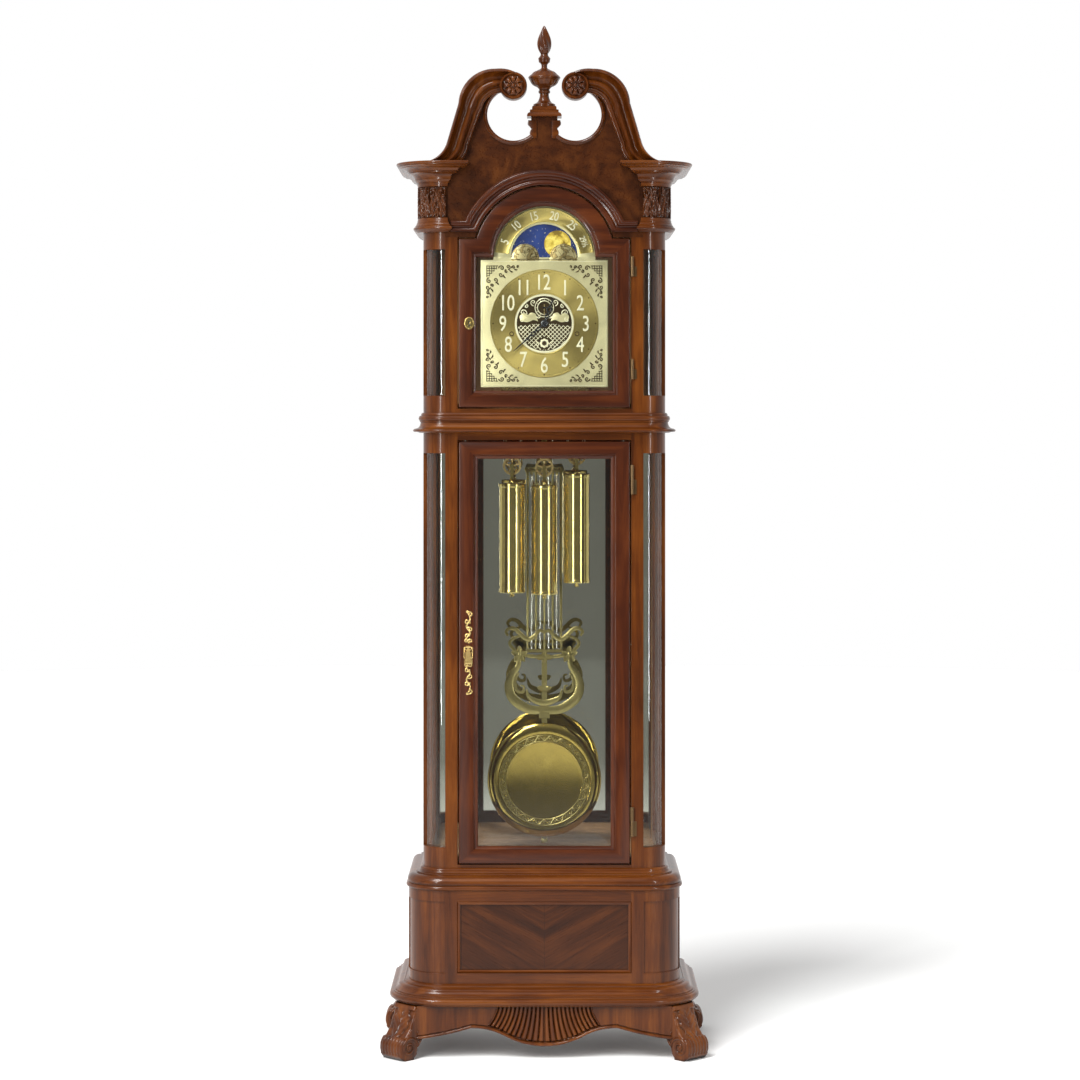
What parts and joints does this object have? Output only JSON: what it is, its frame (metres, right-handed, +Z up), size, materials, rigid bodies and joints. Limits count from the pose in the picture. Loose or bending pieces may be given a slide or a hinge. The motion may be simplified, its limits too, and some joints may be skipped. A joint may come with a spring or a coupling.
{
  "type": "grandfather clock",
  "caption": "Tall wooden clock with an arched glazed hood, moon dial, glazed trunk with hanging brass weights and a lyre pendulum, on scroll feet.",
  "frame": {"origin": "on the floor, under the middle of the clock's bounding box", "axes": "+Z up, the dial faces -Y, +X is the clock's right as seen from the front, where the doors are hinged"},
  "size_m": [0.7278, 0.4058, 2.262],
  "materials": {
    "case_wood": "gloss lacquer",
    "door_wood": "gloss lacquer",
    "carved_wood": "lacquer over a dark glaze",
    "burl_veneer": "gloss lacquer over burl veneer",
    "chevron_veneer": "gloss lacquer over book-matched veneer",
    "inner_wood": "satin",
    "case_glass": "clear",
    "mirror": "silvered",
    "dial_brass": "brushed and lacquered",
    "polished_brass": "polished",
    "lyre_brass": "satin",
    "movement_brass": "satin",
    "fitting_brass": "antiqued",
    "hinge_bronze": "dark bronze",
    "black_steel": "gloss black",
    "chime_steel": "brushed",
    "moon_paint": "gloss enamel",
    "cable_steel": "stranded"
  },
  "bodies": {
    "case": {"scroll_feet": "case_wood", "aprons": "case_wood", "base_moulding": "case_wood", "base_front_frame": "case_wood", "base_front_panel": "chevron_veneer", "base_side_panels": "case_wood", "base_cap_moulding": "case_wood", "trunk_front_frame": "case_wood", "corner_blocks": "case_wood", "case_glass": "case_glass", "side_frames": "case_wood", "mirror_back": "mirror", "back_panel": "inner_wood", "waist_moulding": "case_wood", "hood_front_frame": "case_wood", "frieze_blocks": "carved_wood", "arch_moulding": "door_wood", "pediment_board": "burl_veneer", "swan_necks": "case_wood", "cornice": "case_wood", "finial_plinth": "case_wood", "finial": "case_wood", "inner_boards": "inner_wood", "dial_plate": "dial_brass", "movement_plates": "movement_brass", "chime_rods": "chime_steel", "case_hinges": "hinge_bronze", "suspension_cock": "movement_brass", "cable_hanger": "movement_brass", "left_cable": "cable_steel", "middle_cable": "cable_steel", "right_cable": "cable_steel"},
    "hood_door": {"hood_door_frame": "door_wood", "hood_door_glass": "case_glass", "hood_door_hardware": "fitting_brass"},
    "hood_lock": {"hood_lock_cam": "fitting_brass"},
    "trunk_door": {"trunk_door_frame": "door_wood", "trunk_door_glass": "case_glass", "trunk_door_hinges": "hinge_bronze", "trunk_door_pull": "fitting_brass"},
    "minute": {"minute_hand": "black_steel"},
    "hour": {"hour_hand": "black_steel"},
    "seconds": {"second_hand": "black_steel"},
    "moon": {"moon_disc": "moon_paint"},
    "anchor": {"pallet_anchor": "movement_brass"},
    "pendulum": {"pendulum_rod": "lyre_brass", "pendulum_lyre": "lyre_brass", "pendulum_bob": "polished_brass"},
    "hammers": {"chime_hammers": "chime_steel"},
    "left_weight": {"left_weight": "polished_brass"},
    "left_pulley": {"left_pulley": "polished_brass"},
    "left_drum": {"left_drum": "movement_brass"},
    "middle_weight": {"middle_weight": "polished_brass"},
    "middle_pulley": {"middle_pulley": "polished_brass"},
    "middle_drum": {"middle_drum": "movement_brass"},
    "right_weight": {"right_weight": "polished_brass"},
    "right_pulley": {"right_pulley": "polished_brass"},
    "right_drum": {"right_drum": "movement_brass"}
  },
  "joints": [
    {"name": "hood_door_swing", "type": "hinge", "parent": "case", "child": "hood_door", "pos_m": [0.193, -0.11167, 1.606], "axis": [0, 0, 1], "range_deg": [0, 110]},
    {"name": "hood_lock_turn", "type": "hinge", "parent": "hood_door", "child": "hood_lock", "pos_m": [-0.165, -0.08717, 1.606], "axis": [0, -1, 0], "range_deg": [0, 90]},
    {"name": "trunk_door_swing", "type": "hinge", "parent": "case", "child": "trunk_door", "pos_m": [0.193, -0.11167, 0.882], "axis": [0, 0, 1], "range_deg": [0, 110]},
    {"name": "minute_turn", "type": "hinge", "parent": "case", "child": "minute", "pos_m": [0, -0.10717, 1.606], "axis": [0, 1, 0], "continuous": true},
    {"name": "hour_turn", "type": "hinge", "parent": "case", "child": "hour", "pos_m": [0, -0.10717, 1.606], "axis": [0, 1, 0], "continuous": true},
    {"name": "seconds_turn", "type": "hinge", "parent": "case", "child": "seconds", "pos_m": [0, -0.10717, 1.641], "axis": [0, 1, 0], "continuous": true},
    {"name": "moon_turn", "type": "hinge", "parent": "case", "child": "moon", "pos_m": [0, -0.10717, 1.7516], "axis": [0, 1, 0], "continuous": true},
    {"name": "pendulum_swing", "type": "hinge", "parent": "case", "child": "pendulum", "pos_m": [0, 0.05283, 1.672], "axis": [0, 1, 0], "range_deg": [-3, 3]},
    {"name": "anchor_rock", "type": "hinge", "parent": "case", "child": "anchor", "pos_m": [0, 0.05283, 1.672], "axis": [0, 1, 0], "range_deg": [-3, 3]},
    {"name": "hammer_strike", "type": "hinge", "parent": "case", "child": "hammers", "pos_m": [0, 0.10783, 1.504], "axis": [-1, 0, 0], "range_deg": [0, 12], "stiffness_Nm_per_rad": 1, "springref_deg": -11.46},
    {"name": "left_weight_drop", "type": "slide", "parent": "case", "child": "left_weight", "axis": [0, 0, -1], "range_m": [0, 0.5], "deforming": ["left_cable"]},
    {"name": "left_pulley_turn", "type": "hinge", "parent": "left_weight", "child": "left_pulley", "pos_m": [-0.072, -0.01717, 1.291], "axis": [0, -1, 0], "range_deg": [0, 1550]},
    {"name": "left_drum_turn", "type": "hinge", "parent": "case", "child": "left_drum", "pos_m": [-0.072, -0.01717, 1.5833], "axis": [0, -1, 0], "range_deg": [0, 3100]},
    {"name": "middle_weight_drop", "type": "slide", "parent": "case", "child": "middle_weight", "axis": [0, 0, -1], "range_m": [0, 0.5], "deforming": ["middle_cable"]},
    {"name": "middle_pulley_turn", "type": "hinge", "parent": "middle_weight", "child": "middle_pulley", "pos_m": [0, -0.01717, 1.287], "axis": [0, -1, 0], "range_deg": [0, 1550]},
    {"name": "middle_drum_turn", "type": "hinge", "parent": "case", "child": "middle_drum", "pos_m": [0, -0.01717, 1.5625], "axis": [0, -1, 0], "range_deg": [0, 3100]},
    {"name": "right_weight_drop", "type": "slide", "parent": "case", "child": "right_weight", "axis": [0, 0, -1], "range_m": [0, 0.5], "deforming": ["right_cable"]},
    {"name": "right_pulley_turn", "type": "hinge", "parent": "right_weight", "child": "right_pulley", "pos_m": [0.072, -0.01717, 1.313], "axis": [0, -1, 0], "range_deg": [0, 1550]},
    {"name": "right_drum_turn", "type": "hinge", "parent": "case", "child": "right_drum", "pos_m": [0.072, -0.01717, 1.5833], "axis": [0, -1, 0], "range_deg": [0, 3100]}
  ],
  "couplings": [
    {"joint": "hour_turn", "follows": "minute_turn", "ratio": 0.083333},
    {"joint": "seconds_turn", "follows": "minute_turn", "ratio": 60},
    {"joint": "moon_turn", "follows": "minute_turn", "ratio": 0.00070621},
    {"joint": "anchor_rock", "follows": "pendulum_swing", "ratio": 1},
    {"joint": "left_pulley_turn", "follows": "left_weight_drop", "rad_per_m": 54.054},
    {"joint": "left_drum_turn", "follows": "left_weight_drop", "rad_per_m": 108.11},
    {"joint": "middle_pulley_turn", "follows": "middle_weight_drop", "rad_per_m": 54.054},
    {"joint": "middle_drum_turn", "follows": "middle_weight_drop", "rad_per_m": 108.11},
    {"joint": "right_pulley_turn", "follows": "right_weight_drop", "rad_per_m": 54.054},
    {"joint": "right_drum_turn", "follows": "right_weight_drop", "rad_per_m": 108.11}
  ]
}
